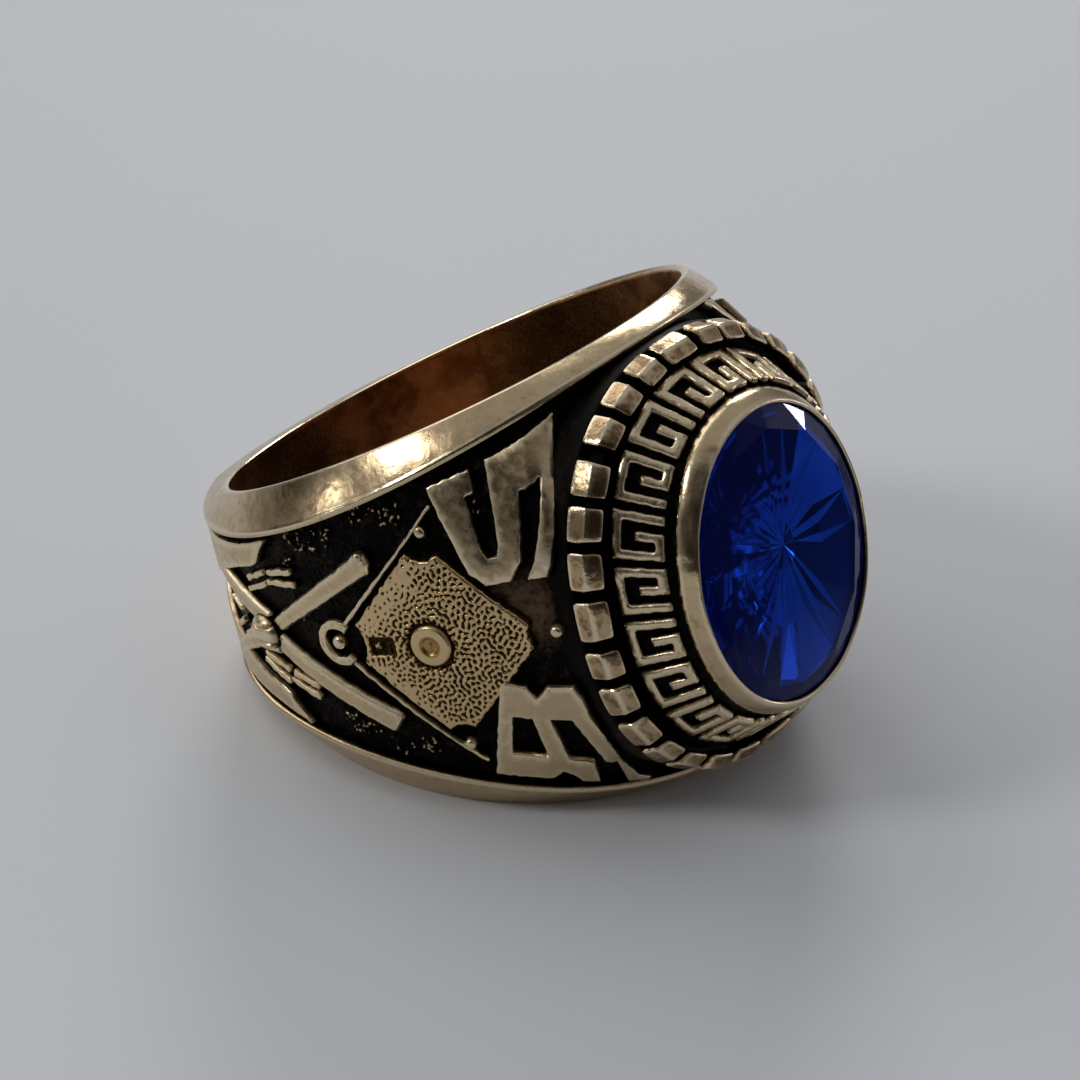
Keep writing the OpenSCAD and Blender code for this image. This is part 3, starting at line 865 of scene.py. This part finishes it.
def back_plate():
    """The plain back of the band, which forks into the two points beside the crossed bats on each side."""
    B = Build()
    up_in = [px(632, 297), px(600, 328), px(572, 366), px(545, 381), px(470, 400), px(410, 419), px(350, 440), px(290, 463), px(235, 487), px(160, 518)]
    apex = (-16.6, 0.0)
    low_in = [(s, -z) for s, z in up_in]
    def rail_line(s):
        return float(edge(a_of(s))) - 0.30
    ss = [-7.6, -8.4, -9.3, -10.4, -11.6, -13, -14.5, -16, -18, -20, -22, -23.72]
    S0 = AR_S[0]
    up_out = [(s, rail_line(s) + 0.12 * float(sm((s + 9.2) / 1.6))) for s in ss]
    near_top = [up_in[0]] + up_out
    far_top = [(2 * S0 - s, z) for s, z in near_top[::-1]][1:]
    far_in = [(2 * S0 - s, z) for s, z in up_in[1:]] + [(2 * S0 - apex[0], 0.0)] + [(2 * S0 - s, -z) for s, z in up_in[1:][::-1]]
    low = [(s, -z) for s, z in (near_top + far_top)][::-1]
    near_in = [(s, -z) for s, z in up_in[1:]] + [apex] + up_in[1:][::-1]
    P = near_top + far_top + far_in + low + near_in
    plate(B, P, top=0.0, bevel=0.10, drop=0.07, round_r=0.0, step=0.3, edge_step=0.2, wob=0.006)
    return B


# ------------------------------------------------------------------ the head
OVK = (11.875, 8.10, 8.79, 2.24)
OVM = (12.733, 6.69, 7.88, 2.2)
OVN = (14.64, 5.83, 6.83, 2.2)


def oval(phi, ay, az, e):
    c, s = np.cos(phi), np.sin(phi)
    return ay * np.sign(c) * np.abs(c) ** (2 / e), az * np.sign(s) * np.abs(s) ** (2 / e)


def even_phi(n, ay=6.3, az=7.4, e=2.2, start=0.0):
    t = np.linspace(0, 2 * np.pi, 7201)
    y, z = oval(t, ay, az, e)
    s = np.concatenate([[0], np.cumsum(np.hypot(np.diff(y), np.diff(z)))])
    u = (np.arange(n) / n) * s[-1]
    return np.interp(u, s, t), u, s[-1], (t, s)


def oval_normal(phi, ay, az, e):
    y, z = oval(phi, ay, az, e)
    gy = np.sign(y) * np.abs(y / ay) ** (e - 1) / ay
    gz = np.sign(z) * np.abs(z / az) ** (e - 1) / az
    L = np.hypot(gy, gz)
    return gy / L, gz / L


def stack(rows, n=288, closed=False):
    """Loft of ovals: rows are (x, ay, az, e)."""
    phi = even_phi(n)[0]
    out = []
    for x, ay, az, e in rows:
        y, z = oval(phi, ay, az, e)
        out.append(np.stack([np.full(n, x), y, z], -1))
    return np.stack(out, 0)  # rows, n


def make_core():
    """Dark body of the head: the wall under the bricks, the ledge behind them and the channel."""
    rows = [(10.2, 8.06, 8.70, 2.24), (10.9, 8.07, 8.74, 2.24), (11.55, 8.08, 8.77, 2.24), (11.72, 8.06, 8.75, 2.24), (11.80, 7.98, 8.68, 2.24),
            (11.83, 7.80, 8.50, 2.22), (11.9, 7.62, 8.33, 2.2), (12.2, 7.50, 8.22, 2.18), (12.34, 7.44, 8.18, 2.17), (12.30, 7.2, 8.06, 2.16),
            (12.22, 6.95, 7.97, 2.2), (12.18, 6.7, 7.85, 2.2), (12.15, 6.3, 7.4, 2.2)]
    pts = squeeze(stack(rows))
    B = Build()
    B.grid(pts, 1.0, wrap_v=True, flip=False)
    return B


def squeeze(pts):
    """The head's far half is a little tighter than the near one."""
    y = pts[..., 1]
    pts[..., 1] = np.where(y > 0, y * (1 - 0.035 * sm(y / 3.0)), y)
    return pts


def make_bricks():
    seen = [(74.5, 83), (85.5, 95), (97, 106), (109, 118.5), (121, 131), (135, 146), (148, 158.5), (160.5, 171), (173, 182), (184, 191.5),
            (194, 203.5), (206.5, 217.5), (220, 229.5), (231.5, 241.5)]
    rest = [(243.5 + 12.0 * k, 243.5 + 12.0 * k + 9.6) for k in range(16)]
    rest = [(a, b) for a, b in rest if b < 360 + 73.5]
    # across the brick: outer face, ridge, inner face, drop into the channel; the tone is light on edges, which are
    # rubbed and also carry a painted highlight
    prof = np.array([(-0.16, 11.66, 1.0), (-0.03, 11.72, 0.45), (0.03, 11.775, 0.06), (0.04, 11.82, 0.0), (0.03, 11.90, 0.08), (0.0, 12.10, 0.17), (-0.04, 12.34, 0.16),
                     (-0.065, 12.50, 0.06), (-0.085, 12.565, 0.0), (-0.125, 12.61, 0.0), (-0.19, 12.665, 0.08), (-0.33, 12.79, 0.19), (-0.46, 12.90, 0.19), (-0.555, 12.975, 0.07),
                     (-0.605, 12.995, 0.0), (-0.65, 12.97, 0.02), (-0.685, 12.9, 0.12), (-0.72, 12.7, 0.4), (-0.78, 12.2, 1.0)])
    mid = np.array([-0.38, 12.15])
    us = np.array([-1, -0.99, -0.95, -0.89, -0.80, -0.6, -0.3, 0, 0.3, 0.6, 0.80, 0.89, 0.95, 0.99, 1])
    ks = np.array([1, 0.42, 0.17, 0.055, 0.012, 0, 0, 0, 0, 0, 0.012, 0.055, 0.17, 0.42, 1])
    rs = np.random.RandomState(3)
    B = Build()
    for p0, p1 in seen + rest:
        c, w = math.radians((p0 + p1) / 2), math.radians((p1 - p0) / 2) * 0.96
        rise, skew, tip, lean = rs.uniform(-0.05, 0.05), rs.uniform(-0.03, 0.03), rs.uniform(-0.10, 0.10), rs.uniform(-0.25, 0.25)
        pr = prof[:, :2].copy()
        pr[6:12, 0] += rs.uniform(-0.05, 0.05)
        pr[6:12, 1] += rs.uniform(-0.05, 0.03)
        pts = np.zeros((len(us), len(pr), 3))
        ant = np.zeros((len(us), len(pr)))
        for i, (u, k) in enumerate(zip(us, ks)):
            q = pr * (1 - k) + mid * k
            # the ends are cut aslant
            phi = c + w * u + w * 0.16 * lean * (q[:, 1] - 12.3) * (1 if u > 0 else 0.6)
            y, z = oval(phi, OVK[1], OVK[2], OVK[3])
            ny, nz = oval_normal(phi, OVK[1], OVK[2], OVK[3])
            n = q[:, 0] + skew * u
            high = sm((q[:, 1] - 11.9) / 0.5)
            x = q[:, 1] + (rise + tip * u * 0.35) * high - 0.05 * high * (1 - np.cos(u * 2.2)) * 0.5
            pts[i] = np.stack([x, y + ny * n, z + nz * n], -1)
            edge_u = 1.0 if abs(u) > 0.97 else (0.0 if abs(u) > 0.85 else 0.5 if abs(u) > 0.75 else 1.0)
            ant[i] = prof[:, 2] * np.where(prof[:, 2] < 0.3, edge_u, 1.0)
            if abs(u) > 0.97:
                ant[i] = np.maximum(prof[:, 2], 0.55 if abs(u) < 1 else 1.0)
        B.grid(squeeze(pts), ant, flip=True)
    return B


def cone(v, phi, h=0.0):
    """Point on the sloping band of the head: v in mm from its outer edge, height h over it."""
    t = np.asarray(v, float) / 2.1
    x = OVM[0] + (OVN[0] - OVM[0]) * t
    ay = OVM[1] + (OVN[1] - OVM[1]) * t
    az = OVM[2] + (OVN[2] - OVM[2]) * t
    y, z = oval(phi, ay, az, 2.2)
    ny, nz = oval_normal(phi, ay, az, 2.2)
    # the band rises 1.91 while it goes in by about 0.95
    nx, nn = 0.45, 0.893
    return np.stack([x + nx * h, y + ny * nn * h, z + nz * nn * h], -1)


def key_unit(W, flip):
    """Outline of one unit of the fret: a meander of even strokes, W wide and 2.1 deep."""
    k = 0.40
    g = (W - 3 * k) / 2
    P = [(0, 0), (W, 0), (W, 2.1), (k + g, 2.1), (k + g, 0.92), (2 * k + g, 0.92), (2 * k + g, 2.1 - k), (W - k, 2.1 - k), (W - k, k), (k, k), (k, 2.1), (0, 2.1)]
    P = np.array(P, float)
    if flip:
        P[:, 0] = W - P[:, 0]
    return P


def make_key():
    _, _, L, (t, s) = even_phi(4, 6.26, 7.36, 2.2)
    place = lambda u, v, h: cone(v, np.interp(np.asarray(u) % L, s, t), h)
    B = Build()
    # dark floor of the band
    n = 300
    u = np.arange(n) / n * L
    v = np.array([-0.34, -0.22, 0.0, 0.4, 0.8, 1.2, 1.6, 2.0, 2.2, 2.36, 2.48])
    U, V = np.meshgrid(u, v, indexing="ij")
    floor = -0.36 - 0.22 * sm((-0.02 - V) / 0.2) + 0.02 * FINE_N(U, V)
    B.grid(place(U, V, floor), 1.0, wrap_u=True, flip=True)
    units = 20
    pitch = L / units
    # counted along the band, so that every unit is as wide as the next
    u_mid = np.interp(np.pi, t, s)
    for i in range(units):
        W = pitch - 0.30
        P = key_unit(W, i % 2) + np.array([u_mid + (i + 0.5) * pitch - W / 2, 0.0])
        plate(B, P, top=0.0, base=-0.45, bevel=0.11, drop=0.10, round_r=0.07, step=0.22, edge_step=0.14, wob=0.010, place=place,
              ant_top=0.14, spread=0.03)
    return B


def make_bezel():
    rows = [(14.05, 5.46, 6.62, 2.15, 1), (14.45, 5.38, 6.56, 2.12, 0.9), (14.70, 5.36, 6.545, 2.1, 0.55), (14.84, 5.385, 6.555, 2.08, 0.12), (14.97, 5.385, 6.54, 2.07, 0.04),
            (15.14, 5.345, 6.48, 2.06, 0.15), (15.30, 5.29, 6.40, 2.05, 0.15), (15.44, 5.225, 6.31, 2.04, 0.13), (15.545, 5.165, 6.23, 2.04, 0.06), (15.60, 5.12, 6.165, 2.03, 0.0),
            (15.63, 5.085, 6.115, 2.03, 0.0), (15.64, 5.055, 6.075, 2.03, 0.0), (15.635, 5.025, 6.04, 2.03, 0.02), (15.61, 5.0, 6.01, 2.02, 0.10), (15.57, 4.988, 5.995, 2.02, 0.25),
            (15.44, 4.985, 5.99, 2.02, 1), (15.33, 5.0, 6.0, 2.02, 1), (15.28, 5.14, 6.14, 2.02, 1), (15.0, 5.2, 6.2, 2.02, 0.2), (14.6, 4.85, 5.8, 2.02, 0.14), (13.8, 4.0, 4.9, 2.02, 0.14),
            (12.9, 2.9, 3.7, 2.02, 0.14), (12.1, 1.8, 2.6, 2.02, 0.14), (11.5, 0.9, 1.6, 2.02, 0.14), (11.3, 0.02, 0.02, 2.02, 0.14)]
    n = 320
    pts = stack([r[:4] for r in rows], n)
    ph = even_phi(n)[0]
    w = 0.010 * SOFT_N(ph * 2.6, 0 * ph)[None, :] * (np.arange(len(rows)) < 14)[:, None]
    pts[..., 0] += w
    # dents from wear along the slope
    for pc, r0, amp, wd in ((150, 6, 0.09, 0.08), (158, 8, 0.07, 0.05), (133, 7, 0.07, 0.10), (171, 7, 0.05, 0.06), (163, 6, 0.05, 0.03), (120, 8, 0.05, 0.05)):
        g = np.exp(-(((np.degrees(ph)[None, :] - pc) / (wd * 57)) ** 2) - ((np.arange(len(rows))[:, None] - r0) / 1.6) ** 2)
        pts[..., 0] -= amp * g
    B = Build()
    B.grid(pts, np.array([r[4] for r in rows])[:, None], wrap_v=True, flip=False)
    return B


# ------------------------------------------------------------------ the stone
CULET = (0.8, -0.1)
CUT_SEED = 15
# tiers of the back: x, half widths, how far every second point is moved, and the cutter's unevenness
PAVILION = [(14.90, 4.45, 5.4, 0.03, 0.035), (14.42, 2.4, 3.1, -0.01, 0.04), (13.96, 0.7, 1.0, 0.0, 0.01)]


def make_stone():
    """Oval stone with twelve sides: big table, narrow crown, girdle under the lip, long-facetted pavilion."""
    G = 12
    step = 2 * math.pi / G
    off = math.radians(22.5)

    def ring(x, ay, az, n, turn_by=0.0):
        ph = np.arange(n) * 2 * math.pi / n + off + turn_by
        y, z = oval(ph, ay, az, 2.02)
        return np.stack([np.full(n, x), y, z], -1)

    V, F = [], []

    def put(r):
        k = sum(len(v) for v in V)
        V.append(r)
        return k

    flat = ring(15.66, 4.36, 5.18, G)
    flat[:, 2] -= 0.08
    table = put(flat)
    crown = ring(15.47, 4.975, 5.975, 2 * G)
    crown[1::2, 0] += 0.01
    top = put(crown)
    bot = put(ring(15.32, 5.0, 6.0, 2 * G))
    F.append(([table + i for i in range(G)], 1))
    for i in range(G):
        j = (i + 1) % G
        a, b, c = top + 2 * i, top + 2 * i + 1, top + (2 * i + 2) % (2 * G)
        # only the far half of the crown mirrors the room, the near half stays as dark as the table
        m, m_next = int(2 <= i <= 8), int(1 <= i <= 8)
        F.append(([table + i, a, b], m))
        F.append(([table + i, b, table + j], m_next))
        F.append(([table + j, b, c], m_next))
    for i in range(2 * G):
        j = (i + 1) % (2 * G)
        F.append(([top + i, bot + i, bot + j, top + j], 0))
    # shallow foiled back: a steep tier under the girdle, then long narrow mains that run to the middle
    rs = np.random.RandomState(CUT_SEED)
    lean_y, lean_z = CULET
    rim = []
    for n, (x, ay, az, dx, jig) in enumerate(PAVILION):
        r = ring(x, ay, az, 2 * G if n == 0 else 4 * G)
        f = 1 - ay / 5.06
        r[:, 1] += lean_y * f
        r[:, 2] += lean_z * f
        r[1::2, 0] += dx
        # the cutter was least even at the lower left
        r[:, 0] += rs.uniform(-jig, jig, len(r)) * (1 + 3.0 * np.maximum(0, np.cos(np.arange(len(r)) * 2 * math.pi / len(r) + off - math.radians(195))))
        rim.append(put(r))
    end = put(np.array([[PAVILION[-1][0] - 0.04, lean_y, lean_z]]))
    N = 2 * G
    for i in range(N):
        j = (i + 1) % N
        h0, h1, l0, l1 = bot + i, bot + j, rim[0] + i, rim[0] + j
        F.append(([h0, l0, l1] if i % 2 else [h0, l0, h1], 2))
        F.append(([h0, l1, h1] if i % 2 else [l0, l1, h1], 2))
        # each point of the first tier feeds the narrow mains below it
        m0, m1, m2 = rim[1] + 2 * i, rim[1] + 2 * i + 1, rim[1] + (2 * i + 2) % (2 * N)
        F.append(([l0, m0, m1], 2))
        F.append(([l0, m1, l1], 2))
        F.append(([l1, m1, m2], 2))
    for h_, l_ in zip(rim[1:-1], rim[2:]):
        for i in range(2 * N):
            j = (i + 1) % (2 * N)
            F.append(([h_ + i, l_ + i, l_ + j], 2))
            F.append(([h_ + i, l_ + j, h_ + j], 2))
    for i in range(2 * N):
        F.append(([end, rim[-1] + (i + 1) % (2 * N), rim[-1] + i], 2))
    v = to_row(np.concatenate(V))
    me = bpy.data.meshes.new("stone_cut")
    me.from_pydata([tuple(p) for p in v], [], [f for f, _ in F])
    me.polygons.foreach_set("material_index", [m for _, m in F])
    bm = bmesh.new()
    bm.from_mesh(me)
    bmesh.ops.recalc_face_normals(bm, faces=bm.faces)
    bm.to_mesh(me)
    bm.free()
    me.update()
    ob = bpy.data.objects.new("stone_cut", me)
    bpy.context.scene.collection.objects.link(ob)
    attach(ob, ROOT)
    return ob


def stone_mat(name, tint=1.0, back=False):
    """Deep blue glass; tint sets how much of the room its surface mirrors. The back is foiled, and gives off a faint
    painted blue glow.
    """
    mat = bpy.data.materials.new(name)
    nt, nd, lk = nodes_of(mat)
    out = nd.new("ShaderNodeOutputMaterial")
    b = nd.new("ShaderNodeBsdfPrincipled")
    link(nt, b.outputs[0], out.inputs[0])
    v = mm_coords(nt)
    wave = mrange(nt, noise(nt, v, 0.35, 3, 0.6), 0.3, 0.7, 0.0, 1.0)
    if back:
        lk.new(mixc(nt, wave, (0.62, 0.70, 0.85), (0.80, 0.84, 0.95)), b.inputs["Base Color"])
        b.inputs["Metallic"].default_value = 1.0
        b.inputs["Roughness"].default_value = 0.07
        # painted glow: the foiled back emits a faint blue light of its own, though it is no lamp
        b.inputs["Emission Color"].default_value = (0.04, 0.18, 1.0, 1)
        b.inputs["Emission Strength"].default_value = 0.012
        return mat
    lk.new(mixc(nt, wave, (0.004, 0.036, 0.34), (0.008, 0.062, 0.46)), b.inputs["Base Color"])
    b.inputs["Roughness"].default_value = 0.0
    b.inputs["IOR"].default_value = 1.70
    b.inputs["Specular Tint"].default_value = (0.62 * tint, 0.66 * tint, tint, 1)
    b.inputs["Transmission Weight"].default_value = 1.0
    return mat


# ------------------------------------------------------------------ put the ring together
band = make_band().mesh("ring_band", M_RAIL, "gold")
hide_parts("ring_body")
near_panel = make_panel(-108, 0, 0.062, 226)
near_panel.mesh("panel_near", M_PANEL, "gold", angle=0)
far_panel = Build()
far_panel.copy_far(near_panel)
far_panel.mesh("panel_far", M_PANEL, "gold", angle=0)
near_back = make_panel(-180, -108, 0.14, 90)
both_back = Build()
for src in (near_back,):
    both_back.v += src.v
    both_back.a += src.a
    both_back.q += src.q
    both_back.n += src.n
both_back.copy_far(near_back)
both_back.mesh("panel_back", M_PANEL, "gold", angle=0)
dia = make_diamond()
dia.mesh("diamond_near", M_PLATE, "gold", angle=0)
dia_far = Build()
dia_far.copy_far(dia)
dia_far.mesh("diamond_far", M_PLATE, "gold", angle=0)
fig = raised_figures()
fig.mesh("relief_near", M_RELIEF, "gold", angle=32)
fig_far = Build()
fig_far.copy_far(fig)
fig_far.mesh("relief_far", M_RELIEF, "gold", angle=32)
back_plate().mesh("back_plate", M_RELIEF, "gold", angle=32)
make_core().mesh("head_core", M_HEAD, "gold", angle=40)
make_bricks().mesh("brick_border", M_BRICK, "gold", angle=28)
make_key().mesh("key_band", M_HEAD, "gold", angle=0)
make_bezel().mesh("bezel", M_BEZEL, "gold", angle=50)
stone = make_stone()
for m in (stone_mat("blue_stone", 1.0), stone_mat("blue_stone_table", 0.0), stone_mat("blue_stone_back_glow", back=True)):
    stone.data.materials.append(m)
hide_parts("stone")

# ------------------------------------------------------------------ table, light, camera
def floor_mat():
    mat = bpy.data.materials.new("pale_table")
    nt, nd, lk = nodes_of(mat)
    out = nd.new("ShaderNodeOutputMaterial")
    b = nd.new("ShaderNodeBsdfPrincipled")
    link(nt, b.outputs[0], out.inputs[0])
    v = mm_coords(nt)
    pale = mixc(nt, noise(nt, v, 0.02, 3, 0.5), (0.775, 0.795, 0.82), (0.81, 0.83, 0.855))
    # painted shade: well outside the picture, to the right and in front, the table's colour is darkened to stand in for
    # the room's light falling off there
    def across(x, y, lo, hi, u, w):
        n = nd.new("ShaderNodeVectorMath")
        n.operation = "DOT_PRODUCT"
        n.inputs[1].default_value = (x, y, 0)
        lk.new(v, n.inputs[0])
        return mrange(nt, n.outputs["Value"], lo, hi, u, w)
    dark = math_node(nt, "MULTIPLY", across(0.754, 0.656, 34, 56, 0.0, 1.0), across(-0.656, 0.754, 15, 40, 1.0, 0.0))
    pale = mixc(nt, dark, pale, (0.05, 0.052, 0.055))
    # painted shade: far off to the left the table's colour is darkened too, where the room's light falls off
    lk.new(mixc(nt, across(-0.98, -0.18, 58, 98, 0.0, 0.85), pale, (0.12, 0.112, 0.105)), b.inputs["Base Color"])
    b.inputs["Roughness"].default_value = 0.55
    b.inputs["Specular IOR Level"].default_value = 0.3
    return mat


me = bpy.data.meshes.new("table_top")
me.from_pydata([(-2, -2, 0), (2, -2, 0), (2, 2, 0), (-2, 2, 0)], [], [(0, 1, 2, 3)])
table_top = bpy.data.objects.new("table_top", me)
bpy.context.scene.collection.objects.link(table_top)
me.materials.append(floor_mat())


def area(name, direction, dist, size, radiance, colour=(1, 1, 1), size_y=None):
    L = bpy.data.lights.new(name, "AREA")
    L.shape = "RECTANGLE"
    L.size, L.size_y = size, size_y or size
    L.energy = radiance * math.pi * L.size * L.size_y
    L.color = colour
    o = bpy.data.objects.new(name, L)
    d = Vector(direction).normalized()
    o.location = d * dist + Vector((0, 0, 0.01))
    o.rotation_mode = "QUATERNION"
    o.rotation_quaternion = d.to_track_quat("Z", "Y")
    bpy.context.scene.collection.objects.link(o)
    return o


area("window_left", (-0.50, -0.60, 0.62), 2.0, 0.50, 9.5, (1.0, 0.99, 0.97), 0.42)
area("window_left_low", (-0.70, -0.68, 0.23), 2.0, 0.15, 9.0, (1.0, 0.99, 0.97), 0.18)
area("window_back", (-0.55, 0.74, 0.39), 2.0, 0.62, 6.5, (0.99, 0.98, 1.0), 0.60)
area("sky_left", (-0.80, 0.12, 0.60), 2.0, 1.5, 1.3, (1.0, 1.0, 1.0), 1.3)
area("gap_far", (0.524, 0.852, 0.016), 2.0, 0.15, 14.0, (1.0, 0.95, 0.98), 0.15)

world = bpy.data.worlds.new("room")
bpy.context.scene.world = world
world.use_nodes = True
wt = world.node_tree
wt.nodes.clear()
wo = wt.nodes.new("ShaderNodeOutputWorld")
bg = wt.nodes.new("ShaderNodeBackground")
wt.links.new(bg.outputs[0], wo.inputs[0])
tc = wt.nodes.new("ShaderNodeTexCoord")


def lobe(direction, inner, outer):
    """1 within `inner` degrees of a direction, 0 beyond `outer`."""
    d = Vector(direction).normalized()
    n = wt.nodes.new("ShaderNodeVectorMath")
    n.operation = "DOT_PRODUCT"
    n.inputs[1].default_value = d
    wt.links.new(tc.outputs["Generated"], n.inputs[0])
    m = wt.nodes.new("ShaderNodeMapRange")
    m.interpolation_type = "SMOOTHSTEP"
    m.inputs["From Min"].default_value = math.cos(math.radians(outer))
    m.inputs["From Max"].default_value = math.cos(math.radians(inner))
    wt.links.new(n.outputs["Value"], m.inputs["Value"])
    return m.outputs["Result"]


def wmix(fac, a, b):
    n = wt.nodes.new("ShaderNodeMix")
    n.data_type = "RGBA"
    for s, v in ((n.inputs[0], fac), (n.inputs[6], a), (n.inputs[7], b)):
        if isinstance(v, tuple):
            s.default_value = (*v, 1)
        else:
            wt.links.new(v, s)
    return n.outputs[2]


room = wmix(lobe((0, 0, 1), 25, 88), (0.16, 0.16, 0.165), (0.36, 0.37, 0.39))
room = wmix(lobe((0.50, 0.86, 0.05), 5, 22), room, (0.85, 0.80, 0.95))
room = wmix(lobe((-0.93, -0.36, 0.06), 5, 11), room, (0.045, 0.036, 0.026))
room = wmix(lobe((0.55, -0.66, 0.45), 16, 62), room, (0.02, 0.018, 0.016))
wt.links.new(room, bg.inputs["Color"])
bg.inputs["Strength"].default_value = 1.0

# the camera, solved from the photograph in the ring's own frame
AZ, EL, ROLL, DIST, F, CX, CY = 0.763710795, 0.375517137, -0.246607923, 196.305777, 4792.62312, 488.605928, 517.378209
d = np.array([math.cos(EL) * math.cos(AZ), -math.cos(EL) * math.sin(AZ), math.sin(EL)])
fwd = -d
right = np.cross(fwd, [0, 0, 1.0])
right /= np.linalg.norm(right)
upv = np.cross(right, fwd)
r2 = math.cos(ROLL) * right + math.sin(ROLL) * upv
u2 = -math.sin(ROLL) * right + math.cos(ROLL) * upv
aim = fwd + r2 * (540 - CX) / F - u2 * (540 - CY) / F
aim /= np.linalg.norm(aim)
side = r2 - aim * np.dot(r2, aim)
side /= np.linalg.norm(side)
top = np.cross(side, aim)


def spin(v):
    return Vector((v[0] * CL - v[2] * SL, v[1], v[0] * SL + v[2] * CL))


cam_data = bpy.data.cameras.new("camera")
cam_data.sensor_width = 36.0
cam_data.lens = F / 1080.0 * 36.0
cam_data.clip_start, cam_data.clip_end = 0.01, 20
cam = bpy.data.objects.new("camera", cam_data)
bpy.context.scene.collection.objects.link(cam)
X, Y, Z = spin(side), spin(top), spin(-aim)
M = Matrix(((X.x, Y.x, Z.x, 0), (X.y, Y.y, Z.y, 0), (X.z, Y.z, Z.z, 0), (0, 0, 0, 1)))
pos = to_row(d * DIST)
cam.matrix_world = Matrix.Translation(Vector(pos)) @ M
bpy.context.scene.camera = cam
bpy.context.scene.view_settings.view_transform = "Standard"
